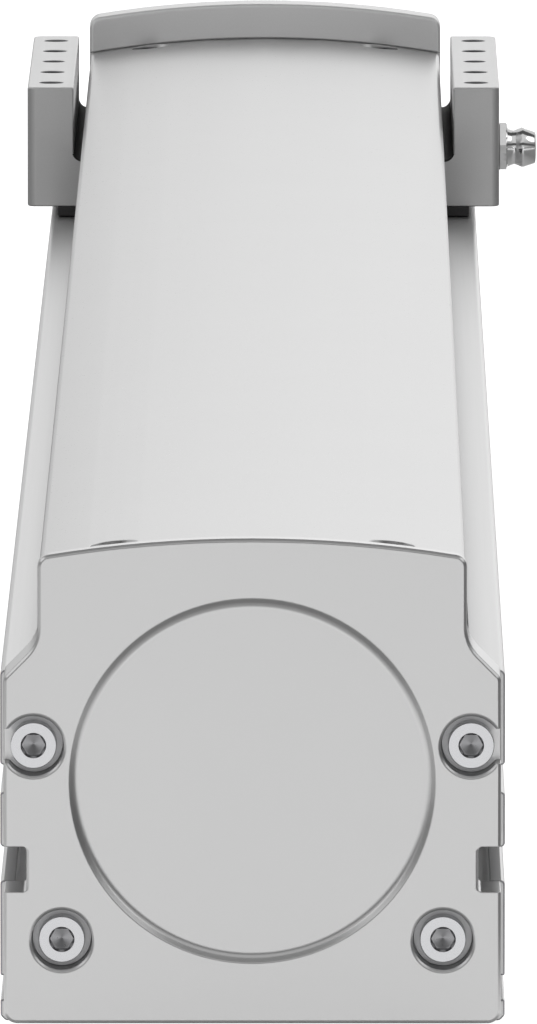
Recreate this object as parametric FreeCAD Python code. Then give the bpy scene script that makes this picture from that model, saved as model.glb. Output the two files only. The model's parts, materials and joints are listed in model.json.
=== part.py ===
import FreeCAD, Part
import math
import os

os.makedirs("parts", exist_ok=True)

# Driving dimensions in millimetres: X across, Y along the axis towards the drive end, Z up from the base
profile_width = 60.0
profile_length = 639.0
shoulder_height = 42.0
shoulder_radius = 0.7
screw_height = 30.0
screw_diameter = 12.0

# Base profile: grooves and slots of the side walls, rail ledge and nut trough, all as heights or half widths
foot_chamfer = 0.6
clamp_groove = (2.5, 5.4)
clamp_groove_depth = 2.0
slot_mouth = (16.8, 20.8)
slot_pocket = (15.2, 22.4)
slot_lip = 1.8
slot_lip_radius = 0.5
slot_depth = 5.8
mark_groove = (27.2, 30.8)
mark_groove_depth = 0.8
mark_groove_slope = 0.4
channel_half = 25.9
ledge_height = 35.3
ledge_step_half = 20.6
ledge_step_height = 36.3
trough_half = 13.4
trough_floor = 15.5
trough_radius = 1.5
middle_chamber = (12.0, 4.0, 12.5)
upper_chamber = (16.0, 26.6, 24.4, 31.3)
lower_chamber = (15.0, 18.5, 4.0, 13.0)
base_hole_radius = 2.1
base_hole_depth = 10.0
base_hole_half_spacing = 22.0
base_hole_stations = (-200.0, 200.0)

# End cap and drive head outline
cap_thickness = 10.5
cap_half = 29.47
cap_upper_half = 25.42
cap_bottom = 1.0
cap_foot_radius = 1.6
waist_low = 42.3
waist_low_radius = 1.2
waist_high = 46.4
waist_high_radius = 4.75
cap_crown = 58.9
crown_radius = 150.0
cap_edge = 0.35
cap_corner_radius = 1.5
head_corner_radius = 1.7
lip_depth = 2.5
disc_rim_radius = 21.75
disc_floor_radius = 21.0
disc_depth = 0.9
notch_depth = 2.7
notch_radius = 0.45
notch_heights = (16.75, 22.1)
upper_screw = (25.93, 34.15)
lower_screw = (22.6, 11.0)
head_length = 30.0
head_flange = 6.4
head_crown = 63.2
head_rear_crown = 56.8
head_rear_inset = 0.85
shelf_length = 8.0
idle_shelf_length = 4.5
shelf_bottom = 51.0
spindle_way_radius = 10.0
spigot_radius = 19.0
spigot_height = 2.0
motor_hole_half_spacing = 17.0
motor_hole_radius = 1.65
motor_hole_depth = 12.0

# Arched cover
cover_half = 25.23
cover_crown = 58.2
cover_thickness = 2.0
cover_flange_bottom = 50.7
cover_edge = 0.7
cover_gap = 0.3
cover_screw_x = 16.8
cover_screw_stations = (-320.8, 316.2)
cover_sink_radius = 2.8
cover_hole_radius = 1.7

# Carriage
table_length = 79.0
table_rest_y = 260.5
table_half = 33.27
wing_inner = 26.75
table_bottom = 43.47
bridge_top = 50.06
wing_top = 60.35
wing_root_radius = 1.3
wing_corner_radius = 1.3
table_hole_x = 30.0
table_hole_pitch = 16.0
table_thread_radius = 1.7
table_thread_depth = 7.0
locating_radius = 1.5
locating_depth = 6.0
seal_edges = (25.95, 29.0)
seal_gap = 0.15
nipple_setback = 8.0
nipple_height = 51.2
nipple_flats = 6.0
nipple_stem_radius = 2.0
nipple_stem = 4.5
nipple_bore_gap = 0.3
nipple_stations = (1.2, 2.4, 5.2)
nipple_radii = (2.42, 2.7)

# Guides
rail_x = 17.0
rail_half = 3.5
rail_height = 4.8
rail_length = 631.0
rail_groove = (1.6, 3.4)
rail_groove_depth = 0.6
runner_half = 8.4
runner_bottom = 36.8
runner_body = 16.5
runner_cap = 3.0
runner_y = 25.25
runner_gap = 0.3

# Ball nut and its housing, stations measured from the middle of the table
nut_radius = 10.5
nut_flange_half = 13.0
nut_flange_y = (-10.5, -5.5)
nut_flange_chamfer = 2.0
nut_tail_y = 20.0
nut_running_gap = 0.3
housing_half = 13.0
housing_y = (-5.5, 12.0)
housing_bottom = 17.0
nut_seat_gap = 0.1

# Bearings, as bore radius, outer radius and width
fixed_bearing = (5.0, 13.0, 16.0)
floating_bearing = (4.0, 9.5, 6.0)
floating_pocket_depth = 7.9
floating_setback = 6.1
ring_share = 0.3
seat_gap = 0.02
spindle_tip = 1.4
spindle_land = 5.5
spindle_land_radius = 5.2
stub_radius = 4.0
stub_length = 22.0
lock_nut_radius = 8.5
lock_nut_width = 4.8
lock_nut_gap = 0.1
lock_nut_slot = (3.0, 1.2)
retainer_width = 4.0
buffer_half = (4.0, 2.5)
buffer_length = 8.0
buffer_x = 17.0
buffer_height = 46.8

# Screws of size M3
m3_shank = 1.45
m3_thread = 1.5
m3_clearance = 1.7
m3_head_radius = 2.75
m3_head_height = 3.0
m3_key = 2.5
m3_key_depth = 1.4
cap_bore_radius = 3.55
cap_bore_edge = 0.34
cap_head_recess = 0.6
head_bore_radius = 3.2
cap_screw_reach = 15.0
profile_thread_depth = 20.0

# Stations along the axis
half_length = profile_length / 2
cap_front = -half_length - cap_thickness
head_front = half_length
head_rear = half_length + head_length
cover_start = cap_front + lip_depth
table_front = table_rest_y - table_length / 2
table_rear = table_rest_y + table_length / 2
floating_start = -half_length - floating_setback
fixed_start = half_length + head_flange
fixed_end = fixed_start + fixed_bearing[2]
cap_screw_seat = cap_front + cap_head_recess + m3_head_height
head_screw_seat = head_rear - cap_head_recess - m3_head_height
along = FreeCAD.Vector(0, 1, 0)
across = FreeCAD.Vector(1, 0, 0)
upward = FreeCAD.Vector(0, 0, 1)


# Shape helpers

def vec(x, y, z):
    return FreeCAD.Vector(x, y, z)


def rounded_wire(corners, y):
    # closed wire in a plane of constant Y, from corners (x, z, radius)
    points = [vec(x, y, z) for x, z, _ in corners]
    starts, middles, ends = [], [], []
    for i, corner in enumerate(points):
        radius = corners[i][2]
        back = (points[i - 1] - corner).normalize()
        ahead = (points[(i + 1) % len(points)] - corner).normalize()
        if radius == 0:
            starts.append(corner)
            middles.append(None)
            ends.append(corner)
            continue
        half_angle = back.getAngle(ahead) / 2
        reach = radius / math.tan(half_angle)
        bisector = (back + ahead).normalize()
        starts.append(corner + back * reach)
        middles.append(corner + bisector * (radius / math.sin(half_angle) - radius))
        ends.append(corner + ahead * reach)
    edges = []
    for i, middle in enumerate(middles):
        if middle is not None:
            edges.append(Part.Arc(starts[i], middle, ends[i]).toShape())
        following = starts[(i + 1) % len(points)]
        if (following - ends[i]).Length > 1e-6:
            edges.append(Part.LineSegment(ends[i], following).toShape())
    return Part.Wire(edges)


def prism(corners, y0, y1):
    return Part.Face(rounded_wire(corners, y0)).extrude(vec(0, y1 - y0, 0))


def both_sides(right_half):
    return right_half + [(-x, z, r) for x, z, r in reversed(right_half)]


def box(x0, x1, y0, y1, z0, z1):
    return Part.makeBox(x1 - x0, y1 - y0, z1 - z0, vec(x0, y0, z0))


def rod(x, z, radius, y0, y1):
    return Part.makeCylinder(radius, y1 - y0, vec(x, y0, z), along)


def post(x, y, radius, z0, z1):
    return Part.makeCylinder(radius, z1 - z0, vec(x, y, z0), upward)


def turned(points, centre, axis):
    # solid of revolution from (station along the axis, radius) pairs
    side = upward if axis != upward else across
    path = [centre + axis * station + side * radius for station, radius in points]
    face = Part.Face(Part.makePolygon(path + [path[0]]))
    return face.revolve(centre, axis, 360)


def tube(inner, outer, y0, y1):
    # ring about the screw's axis
    section = [(y0, inner), (y0, outer), (y1, outer), (y1, inner)]
    return turned(section, vec(0, 0, screw_height), along)


def hexagon(flats, centre, axis, depth, side):
    corner = flats / math.sqrt(3)
    points = []
    for i in range(7):
        turn = FreeCAD.Rotation(axis, 60 * i)
        points.append(centre + turn.multVec(side) * corner)
    return Part.Face(Part.makePolygon(points)).extrude(axis * depth)


def crowned(corners, y0, y1, crown, radius):
    bow = rod(0, crown - radius, radius, y0, y1)
    return prism(both_sides(corners), y0, y1).common(bow)


def top_corners(shape, half, lowest):
    # edges along Y where the crowned top meets the upright sides
    found = []
    for edge in shape.Edges:
        ends = [v.Point for v in edge.Vertexes]
        level = all(abs(abs(p.x) - half) < 0.01 and p.z > lowest for p in ends)
        if level and len(ends) == 2 and abs(ends[0].y - ends[1].y) > 0.5:
            found.append(edge)
    return found


def edges_at(shape, y):
    return [e for e in shape.Edges if all(abs(v.Y - y) < 1e-6 for v in e.Vertexes)]


def cut_all(shape, tools):
    return shape.cut(Part.makeCompound(tools))


def mirrored_x(points):
    return [(side * x, z) for x, z in points for side in (1, -1)]


def socket_screw(centre, axis, reach):
    # M3 socket head screw: centre of the seat under its head, and the axis out of the head
    face = m3_head_height
    outline = [(-reach, 0), (-reach, m3_shank), (0, m3_shank), (0, m3_head_radius), (face, m3_head_radius),
               (face, 0)]
    socket = hexagon(m3_key, centre + axis * (face - m3_key_depth), axis, m3_head_height, across)
    return turned(outline, centre, axis).cut(socket)


def export(name, *solids):
    shape = solids[0] if len(solids) == 1 else Part.makeCompound(list(solids))
    shape.exportStep("parts/" + name + ".step")


# Base profile: one extrusion with side slots, rail ledges, nut trough and closed chambers

def profile_section():
    side = profile_width / 2
    pocket_floor = side - slot_depth
    lip = side - slot_lip
    groove = side - clamp_groove_depth
    mark = side - mark_groove_depth
    return [
        (side - foot_chamfer, 0, 0), (side, foot_chamfer, 0),
        (side, clamp_groove[0], 0), (groove, clamp_groove[0], 0), (groove, clamp_groove[1], 0),
        (side, clamp_groove[1], 0), (side, slot_mouth[0], slot_lip_radius), (lip, slot_mouth[0], 0),
        (lip, slot_pocket[0], 0), (pocket_floor, slot_pocket[0], 0), (pocket_floor, slot_pocket[1], 0),
        (lip, slot_pocket[1], 0), (lip, slot_mouth[1], 0), (side, slot_mouth[1], slot_lip_radius),
        (side, mark_groove[0], 0), (mark, mark_groove[0] + mark_groove_slope, 0),
        (mark, mark_groove[1] - mark_groove_slope, 0), (side, mark_groove[1], 0),
        (side, shoulder_height, shoulder_radius), (channel_half, shoulder_height, 0),
        (channel_half, ledge_step_height, 0), (ledge_step_half, ledge_step_height, 0),
        (ledge_step_half, ledge_height, 0), (trough_half, ledge_height, 0),
        (trough_half, trough_floor, trough_radius),
    ]


def chamber(x0, x1, z0, z1):
    return box(min(x0, x1), max(x0, x1), -half_length, half_length, z0, z1)


def make_profile():
    body = prism(both_sides(profile_section()), -half_length, half_length)
    reach, low, high = middle_chamber
    hollows = [chamber(-reach, reach, low, high)]
    for side in (1, -1):
        for inner, outer, bottom, top in (upper_chamber, lower_chamber):
            hollows.append(chamber(side * inner, side * outer, bottom, top))
        for y in base_hole_stations:
            hollows.append(post(side * base_hole_half_spacing, y, base_hole_radius, 0, base_hole_depth))
    for x, z in mirrored_x([upper_screw, lower_screw]):
        hollows.append(rod(x, z, m3_thread, -half_length, -half_length + profile_thread_depth))
        hollows.append(rod(x, z, m3_thread, half_length - profile_thread_depth, half_length))
    return cut_all(body, hollows)


# End cap of the idle end, with a round disc recess, side notches and the floating bearing's pocket

def cap_outline(inset):
    return [
        (cap_half - inset, cap_bottom + inset, cap_foot_radius),
        (cap_half - inset, waist_low, waist_low_radius),
        (cap_upper_half - inset, waist_high, waist_high_radius),
        (cap_upper_half - inset, head_crown + 5, 0),
    ]


def cover_core(bottom, y0, y1):
    # block under the cover, its top bent like the cover's inner face
    half = cover_half - cover_thickness - cover_gap
    return crowned([(half, bottom, 0), (half, cover_crown + 5, 0)], y0, y1,
                   cover_crown - cover_thickness, crown_radius - cover_thickness)


def rounded_lip(y0, y1, crown, corner, front):
    body = crowned(cap_outline(0), y0, y1, crown, crown_radius)
    body = body.makeFillet(corner, top_corners(body, cap_upper_half, waist_high + 2))
    return body.makeChamfer(cap_edge, edges_at(body, front))


def make_end_cap():
    rear = -half_length
    body = rounded_lip(cap_front, cover_start, cap_crown, cap_corner_radius, cap_front)
    lower = cap_outline(0)[:3] + [(cap_upper_half, cover_flange_bottom - cover_gap, 0)]
    body = body.fuse(prism(both_sides(lower), cover_start, rear))
    body = body.fuse(cover_core(cover_flange_bottom - 2 * cover_gap, cover_start, rear))
    body = body.fuse(cover_core(shelf_bottom, rear, rear + idle_shelf_length))
    disc_centre = vec(0, cap_front, screw_height)
    tools = [
        Part.makeCone(disc_rim_radius, disc_floor_radius, disc_depth, disc_centre, along),
        rod(0, screw_height, floating_bearing[1] + seat_gap, rear - floating_pocket_depth, rear),
    ]
    for x, z in mirrored_x([upper_screw, lower_screw]):
        mouth = cap_bore_radius + cap_bore_edge
        tools.append(Part.makeCone(mouth, cap_bore_radius, cap_bore_edge, vec(x, cap_front, z), along))
        tools.append(rod(x, z, cap_bore_radius, cap_front, cap_screw_seat))
        tools.append(rod(x, z, m3_clearance, cap_front, rear))
    low, high = notch_heights
    floor = cap_half - notch_depth
    outside = cap_half + 1
    notch = [(floor, low, notch_radius), (outside, low, 0), (outside, high, 0), (floor, high, notch_radius)]
    for side in (1, -1):
        tools.append(prism([(side * x, z, r) for x, z, r in notch], cap_front, rear))
    return cut_all(body, tools)


def make_end_cap_screws():
    reach = -half_length + cap_screw_reach - cap_screw_seat
    places = mirrored_x([upper_screw, lower_screw])
    return [socket_screw(vec(x, cap_screw_seat, z), -along, reach) for x, z in places]


# Drive head: flange wall above the cover, bearing housing behind it and the motor face

def make_drive_head():
    body = rounded_lip(head_front, fixed_start, head_crown, head_corner_radius, head_front)
    rear = crowned(cap_outline(head_rear_inset), fixed_start, head_rear, head_rear_crown, crown_radius)
    corners = top_corners(rear, cap_upper_half - head_rear_inset, waist_high + 2)
    body = body.fuse(rear.makeFillet(cap_corner_radius, corners))
    body = body.fuse(cover_core(shelf_bottom, head_front - shelf_length, head_front))
    body = body.fuse(rod(0, screw_height, spigot_radius, head_rear - 1, head_rear + spigot_height))
    tools = [
        rod(0, screw_height, spindle_way_radius, head_front, fixed_start),
        rod(0, screw_height, fixed_bearing[1] + seat_gap, fixed_start, head_rear + spigot_height),
    ]
    for x, z in mirrored_x([upper_screw, lower_screw]):
        tools.append(rod(x, z, m3_clearance, head_front, head_rear))
        tools.append(rod(x, z, head_bore_radius, head_screw_seat, head_rear))
    for x in (motor_hole_half_spacing, -motor_hole_half_spacing):
        for rise in (motor_hole_half_spacing, -motor_hole_half_spacing):
            z = screw_height + rise
            tools.append(rod(x, z, motor_hole_radius, head_rear - motor_hole_depth, head_rear))
    return cut_all(body, tools)


def make_drive_head_screws():
    reach = head_screw_seat - half_length + cap_screw_reach
    places = mirrored_x([upper_screw, lower_screw])
    return [socket_screw(vec(x, head_screw_seat, z), along, reach) for x, z in places]


# Arched cover, open underneath, with two countersunk holes at each end

def countersunk_hole(x, y):
    # right-angled cone over a plain hole, both a little longer than the cover is thick
    surface = cover_crown - crown_radius + math.sqrt(crown_radius ** 2 - x ** 2)
    spare = 0.5
    low = -cover_thickness - spare
    throat = cover_hole_radius - cover_sink_radius
    outline = [(low, 0), (low, cover_hole_radius), (throat, cover_hole_radius),
               (spare, cover_sink_radius + spare), (spare, 0)]
    return turned(outline, vec(x, y, surface), upward)


def make_cover():
    outline = [(cover_half, cover_flange_bottom, 0), (cover_half, cover_crown + 5, 0)]
    body = crowned(outline, cover_start, head_front, cover_crown, crown_radius)
    body = body.makeFillet(cover_edge, top_corners(body, cover_half, cover_flange_bottom + 1))
    half = cover_half - cover_thickness
    hollow = [(half, cover_flange_bottom - 1, 0), (half, cover_crown + 5, 0)]
    body = body.cut(crowned(hollow, cover_start, head_front, cover_crown - cover_thickness,
                            crown_radius - cover_thickness))
    places = [(x, y) for x in (cover_screw_x, -cover_screw_x) for y in cover_screw_stations]
    return cut_all(body, [countersunk_hole(x, y) for x, y in places])


# Carriage: H-shaped table whose bridge passes under the cover

def make_carriage():
    section = [(table_half, table_bottom, 0), (table_half, wing_top, 0), (wing_inner, wing_top, 0),
               (wing_inner, bridge_top, wing_root_radius)]
    body = prism(both_sides(section), table_front, table_rear)
    corners = [(table_half, table_front), (table_half, table_rear), (-table_half, table_rear),
               (-table_half, table_front)]
    outline = rounded_wire([(x, y, wing_corner_radius) for x, y in corners], 0)
    outline.rotate(vec(0, 0, 0), across, -90)
    body = body.common(Part.Face(outline).extrude(upward * (wing_top + 1)))
    tools = []
    for side in (1, -1):
        x = side * table_hole_x
        for step in (-2, -1, 1, 2):
            y = table_rest_y + step * table_hole_pitch
            tools.append(post(x, y, table_thread_radius, wing_top - table_thread_depth, wing_top))
        tools.append(post(x, table_rest_y, locating_radius, wing_top - locating_depth, wing_top))
    nipple_bore = nipple_seat() - across * (nipple_stem + nipple_bore_gap)
    tools.append(Part.makeCylinder(nipple_stem_radius + seat_gap, table_half, nipple_bore, across))
    return cut_all(body, tools)


def make_gap_seal(side):
    inner, outer = sorted(side * x for x in seal_edges)
    return box(inner, outer, table_front, table_rear, shoulder_height + seal_gap, table_bottom)


def nipple_seat():
    return vec(table_half, table_front + nipple_setback, nipple_height)


def make_grease_nipple():
    base = nipple_seat()
    stem = [(-nipple_stem, 0), (-nipple_stem, nipple_stem_radius), (0.5, nipple_stem_radius), (0.5, 0)]
    neck, head = nipple_radii
    collar, shoulder, tip = nipple_stations
    outline = [(0.5, 0), (0.5, neck), (shoulder, neck), (shoulder, head), (tip, head), (tip, 0)]
    body = hexagon(nipple_flats, base, across, collar, upward)
    return body.fuse(turned(stem, base, across)).fuse(turned(outline, base, across))


# Guides: two rails on the ledges and four runner blocks under the table

def make_rail(x):
    waist = rail_half - rail_groove_depth
    low, high = rail_groove
    slope = rail_groove_depth
    right = [(rail_half, 0), (rail_half, low), (waist, low + slope), (waist, high - slope), (rail_half, high),
             (rail_half, rail_height)]
    section = both_sides([(dx, ledge_height + dz, 0) for dx, dz in right])
    section = [(x + dx, z, r) for dx, z, r in section]
    return prism(section, -rail_length / 2, rail_length / 2)


def runner_section(x, half, bottom, top, ridge):
    inner = rail_half + runner_gap
    roof = ledge_height + rail_height + runner_gap
    right = [(half, top), (half, bottom), (inner, bottom)]
    if ridge:
        tooth = inner - rail_groove_depth + 0.1
        low, high = (ledge_height + z for z in rail_groove)
        slope = rail_groove_depth
        right += [(inner, low), (tooth, low + slope), (tooth, high - slope), (inner, high)]
    right.append((inner, roof))
    return [(x + dx, z, r) for dx, z, r in both_sides([(dx, z, 0) for dx, z in right])]


def make_runner(x, y):
    section = runner_section(x, runner_half, runner_bottom, table_bottom, True)
    return prism(section, y - runner_body / 2, y + runner_body / 2)


def make_runner_caps(x, y):
    section = runner_section(x, runner_half - 0.3, runner_bottom + 0.2, table_bottom - 0.4, False)
    inner = runner_body / 2
    outer = inner + runner_cap
    return [prism(section, y - outer, y - inner), prism(section, y + inner, y + outer)]


def runner_places():
    return {
        "front_left": (-rail_x, table_rest_y - runner_y),
        "front_right": (rail_x, table_rest_y - runner_y),
        "rear_left": (-rail_x, table_rest_y + runner_y),
        "rear_right": (rail_x, table_rest_y + runner_y),
    }


# Ball nut and the housing that hangs it under the bridge

def make_nut_housing():
    y0, y1 = (table_rest_y + station for station in housing_y)
    half = housing_half
    step = nut_flange_chamfer
    right = [(half - step, housing_bottom, 0), (half, housing_bottom + step, 0), (half, table_bottom, 0)]
    return prism(both_sides(right), y0, y1).cut(rod(0, screw_height, nut_radius + nut_seat_gap, y0, y1))


def make_ball_nut():
    f0, f1 = (table_rest_y + station for station in nut_flange_y)
    tail = table_rest_y + nut_tail_y
    half = nut_flange_half
    step = nut_flange_chamfer
    corner = [(half - step, -half), (half, step - half), (half, half - step), (half - step, half)]
    flange = prism(both_sides([(dx, screw_height + dz, 0) for dx, dz in corner]), f0, f1)
    body = flange.fuse(rod(0, screw_height, nut_radius, f1, tail))
    return body.cut(rod(0, screw_height, screw_diameter / 2 + nut_running_gap, f0, tail))


# Spindle with its journals, bearings and lock nut

def make_spindle():
    tip = floating_start - spindle_tip
    bearing_end = floating_start + floating_bearing[2]
    nut_end = fixed_end + lock_nut_gap + lock_nut_width
    end = head_rear + stub_length
    journal = floating_bearing[0]
    land = bearing_end + spindle_land
    edge = 0.5
    outline = [
        (tip, 0), (tip, journal), (bearing_end, journal), (bearing_end, spindle_land_radius),
        (land, spindle_land_radius), (land, screw_diameter / 2),
        (fixed_start, screw_diameter / 2), (fixed_start, fixed_bearing[0]), (nut_end, fixed_bearing[0]),
        (nut_end, stub_radius), (end - edge, stub_radius), (end, stub_radius - edge), (end, 0),
    ]
    return turned(outline, vec(0, 0, screw_height), along)


def ring_radii(bearing):
    # outside of the inner ring and inside of the outer ring
    bore, outer, _ = bearing
    wall = (outer - bore) * ring_share
    return bore + wall, outer - wall


def make_outer_ring(bearing, y0):
    return tube(ring_radii(bearing)[1], bearing[1], y0, y0 + bearing[2])


def make_inner_ring(bearing, y0):
    return tube(bearing[0] + seat_gap, ring_radii(bearing)[0], y0, y0 + bearing[2])


def make_lock_nut():
    y0 = fixed_end + lock_nut_gap
    body = tube(fixed_bearing[0] + seat_gap, lock_nut_radius, y0, y0 + lock_nut_width)
    half = lock_nut_slot[0] / 2
    floor = screw_height + lock_nut_radius - lock_nut_slot[1]
    slots = []
    for turn in range(4):
        slot = box(-half, half, y0, y0 + lock_nut_width, floor, screw_height + 2 * lock_nut_radius)
        slot.rotate(vec(0, 0, screw_height), along, 90 * turn)
        slots.append(slot)
    return cut_all(body, slots)


def make_retainer():
    rear = fixed_end + retainer_width
    return tube(ring_radii(fixed_bearing)[1], fixed_bearing[1], fixed_end, rear)


def make_buffers(wall, out):
    # rubber blocks glued to the end walls, level with the bridge of the table
    y0, y1 = sorted((wall, wall + out * buffer_length))
    half_width, half_height = buffer_half
    low, high = buffer_height - half_height, buffer_height + half_height
    return [box(x - half_width, x + half_width, y0, y1, low, high) for x in (buffer_x, -buffer_x)]


# Fixed pieces
export("profile", make_profile())
export("end_cap", make_end_cap())
export("end_cap_screws", *make_end_cap_screws())
export("drive_head", make_drive_head())
export("drive_head_screws", *make_drive_head_screws())
export("cover", make_cover())
export("guide_rail_left", make_rail(-rail_x))
export("guide_rail_right", make_rail(rail_x))
export("buffers_idle_end", *make_buffers(-half_length, 1))
export("buffers_drive_end", *make_buffers(head_front, -1))
export("bearing_retainer", make_retainer())

# Bearings: outer rings in the housings, inner rings on the spindle
bearing_seats = {
    "fixed_bearing": (fixed_bearing, fixed_start),
    "floating_bearing": (floating_bearing, floating_start),
}
for name, (bearing, station) in bearing_seats.items():
    export(name + "_outer_ring", make_outer_ring(bearing, station))
    export(name + "_inner_ring", make_inner_ring(bearing, station))

# Turning pieces
export("spindle", make_spindle())
export("spindle_lock_nut", make_lock_nut())

# Travelling pieces
export("carriage", make_carriage())
export("gap_seal_left", make_gap_seal(-1))
export("gap_seal_right", make_gap_seal(1))
export("grease_nipple", make_grease_nipple())
export("nut_housing", make_nut_housing())
export("ball_nut", make_ball_nut())
for place, (x, y) in runner_places().items():
    export("runner_" + place, make_runner(x, y))
    export("runner_caps_" + place, *make_runner_caps(x, y))
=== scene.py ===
import json
import math
from functools import partial

import bmesh
import bpy
from mathutils import Matrix, Vector

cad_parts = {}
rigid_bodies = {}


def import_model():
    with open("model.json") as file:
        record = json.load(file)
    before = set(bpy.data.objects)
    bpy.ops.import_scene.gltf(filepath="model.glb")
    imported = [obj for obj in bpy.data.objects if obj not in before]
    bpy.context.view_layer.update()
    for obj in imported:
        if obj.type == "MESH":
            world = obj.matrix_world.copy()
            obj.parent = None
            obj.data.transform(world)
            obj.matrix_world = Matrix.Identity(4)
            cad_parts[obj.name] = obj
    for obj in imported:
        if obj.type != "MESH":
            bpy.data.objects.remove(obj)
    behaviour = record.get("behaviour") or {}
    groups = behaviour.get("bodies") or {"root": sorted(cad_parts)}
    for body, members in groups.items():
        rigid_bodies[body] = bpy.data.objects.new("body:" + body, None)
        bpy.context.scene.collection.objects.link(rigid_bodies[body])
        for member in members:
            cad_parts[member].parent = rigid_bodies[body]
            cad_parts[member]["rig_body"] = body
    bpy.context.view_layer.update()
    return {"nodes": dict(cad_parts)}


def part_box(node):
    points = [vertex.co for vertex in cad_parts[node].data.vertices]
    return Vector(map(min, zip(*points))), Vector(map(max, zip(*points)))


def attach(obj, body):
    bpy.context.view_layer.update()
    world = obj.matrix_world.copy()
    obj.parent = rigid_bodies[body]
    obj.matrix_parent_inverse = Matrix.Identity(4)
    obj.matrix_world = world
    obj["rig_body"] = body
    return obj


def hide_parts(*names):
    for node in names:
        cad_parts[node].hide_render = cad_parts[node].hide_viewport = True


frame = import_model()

scene = bpy.context.scene
mm = 0.001
weldGap = 2e-6                  # m; the frame's meshes are loose triangles, so copies are welded
flatTurn = math.radians(0.6)    # faces that turn less lie in one plane
sharpTurn = math.radians(26)    # edges that turn more are broken
creaseTurn = math.radians(50)   # edges that turn more are shaded sharp
turnedCrease = math.radians(35)     # the same for turned pieces
print("frame loaded:", len(frame["nodes"]), "nodes")


# small helpers

rangeNode = "ShaderNodeMapRange"
fade = (rangeNode, {"interpolation_type": "SMOOTHSTEP"})
plus, minus, times, over, timesPlus, sizeOf, larger, smaller, below, above, sineOf, cosineOf, angleOf = [
    ("ShaderNodeMath", {"operation": operation}) for operation in (
        "ADD", "SUBTRACT", "MULTIPLY", "DIVIDE", "MULTIPLY_ADD", "ABSOLUTE", "MAXIMUM", "MINIMUM",
        "LESS_THAN", "GREATER_THAN", "SINE", "COSINE", "ARCTAN2")]


def linear(hexColour):
    channels = [int(hexColour[i:i + 2], 16) / 255 for i in (1, 3, 5)]
    return [c / 12.92 if c <= 0.04045 else ((c + 0.055) / 1.055) ** 2.4 for c in channels] + [1.0]


def addNode(tree, kind, values=(), **settings):
    # kind is a type, or a type with settings; a value is a number, a socket, or a node for its first output
    kind, fixed = (kind, {}) if isinstance(kind, str) else kind
    node = tree.nodes.new(kind)
    for name, value in (fixed | settings).items():
        setattr(node, name, value)
    for socket, value in values.items() if isinstance(values, dict) else enumerate(values):
        if isinstance(value, bpy.types.Node):
            value = value.outputs[0]
        if isinstance(value, bpy.types.NodeSocket):
            tree.links.new(value, node.inputs[socket])
        else:
            node.inputs[socket].default_value = value
    return node


def newPiece(name, mesh, *materials):
    piece = bpy.data.objects.new(name, mesh)
    scene.collection.objects.link(piece)
    mesh.materials.clear()
    for material in materials:
        mesh.materials.append(material)
    return piece


def makePlain(piece):
    bpy.context.view_layer.update()
    depsgraph = bpy.context.evaluated_depsgraph_get()
    mesh = bpy.data.meshes.new_from_object(piece.evaluated_get(depsgraph))
    mesh.name = piece.name
    piece.modifiers.clear()
    piece.data = mesh
    return piece


def bodyOf(node):
    return frame["nodes"][node]["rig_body"]


# camera

cameraPlace = {
    "aside": 8.088,         # mm to the right of the axis
    "ahead": 2839.36,       # mm in front of the idle end's face
    "height": 381.2,        # mm above the floor
    "pitchDown": 6.4129,    # degrees
    "yawLeft": 0.1245,
    "lens": 849.18,         # mm
    "sensor": 36,           # mm, long side
    "clip": (0.05, 60),     # m
}


def makeCamera(place):
    data = bpy.data.cameras.new("camera")
    data.sensor_fit = "AUTO"
    data.sensor_width = place["sensor"]
    data.lens = place["lens"]
    data.clip_start, data.clip_end = place["clip"]
    camera = bpy.data.objects.new("camera", data)
    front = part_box("end_cap")[0].y
    camera.location = (place["aside"] * mm, front - place["ahead"] * mm, place["height"] * mm)
    camera.rotation_euler = (math.radians(90 - place["pitchDown"]), 0, math.radians(place["yawLeft"]))
    scene.collection.objects.link(camera)
    scene.camera = camera


makeCamera(cameraPlace)
print("camera placed")


# studio: pale floor with darker cards at both sides, soft surroundings, three soft lamps

studio = {
    "floorSize": 40.0,              # m
    "floorColour": "#F4F4F4",
    "floorWhite": 0.85,             # what the floor adds where it is seen, so that it reads as white
    "cardColour": "#ACACAC",
    "cardReach": (0.042, 0.09),     # m from the axis, where the cards begin
    "cardWhite": 0.25,              # keeps the cards white where the camera sees them
    "leftGap": (0.0, 0.25),         # the left card fades out towards the idle end, m from the middle
    "rightGap": (-0.26, -0.14, 0.0, 0.12),      # a gap in the right card, m from the middle
    "mirrorGap": 0.28,              # what the metal sees of the floor through the gaps
    "mirrorNear": 0.73,             # and in front, behind and close beside
    "backLeft": ((0.035, 0.06), (-0.25, 0.15)),     # m to the left and behind, where that fades out
    "glance": (0.30, 0.80),         # it also fades where the floor is looked at from above
    "endsAt": 0.332,                # m from the middle
    "splay": 0.6,                   # how fast the bright floor widens away from the ends
    "sides": 0.42,                  # level of the surroundings to the left and right
    "ends": 0.57,                   # what is added in front and behind
    "towardsDrive": 0.12,           # brighter behind the object, darker in front
    "towardsRight": -0.20,          # darker to the right, brighter to the left
    "panelRise": (0.25, 0.80),      # how far up the panels overhead take over
    "ceiling": 0.80,                # level of those panels
    "gaps": ((21.5, 6.0, 10.0), (98.0, 12.0, 18.0)),    # dark joints, degrees up from the front
    "gapLevel": 0.10,
}


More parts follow.
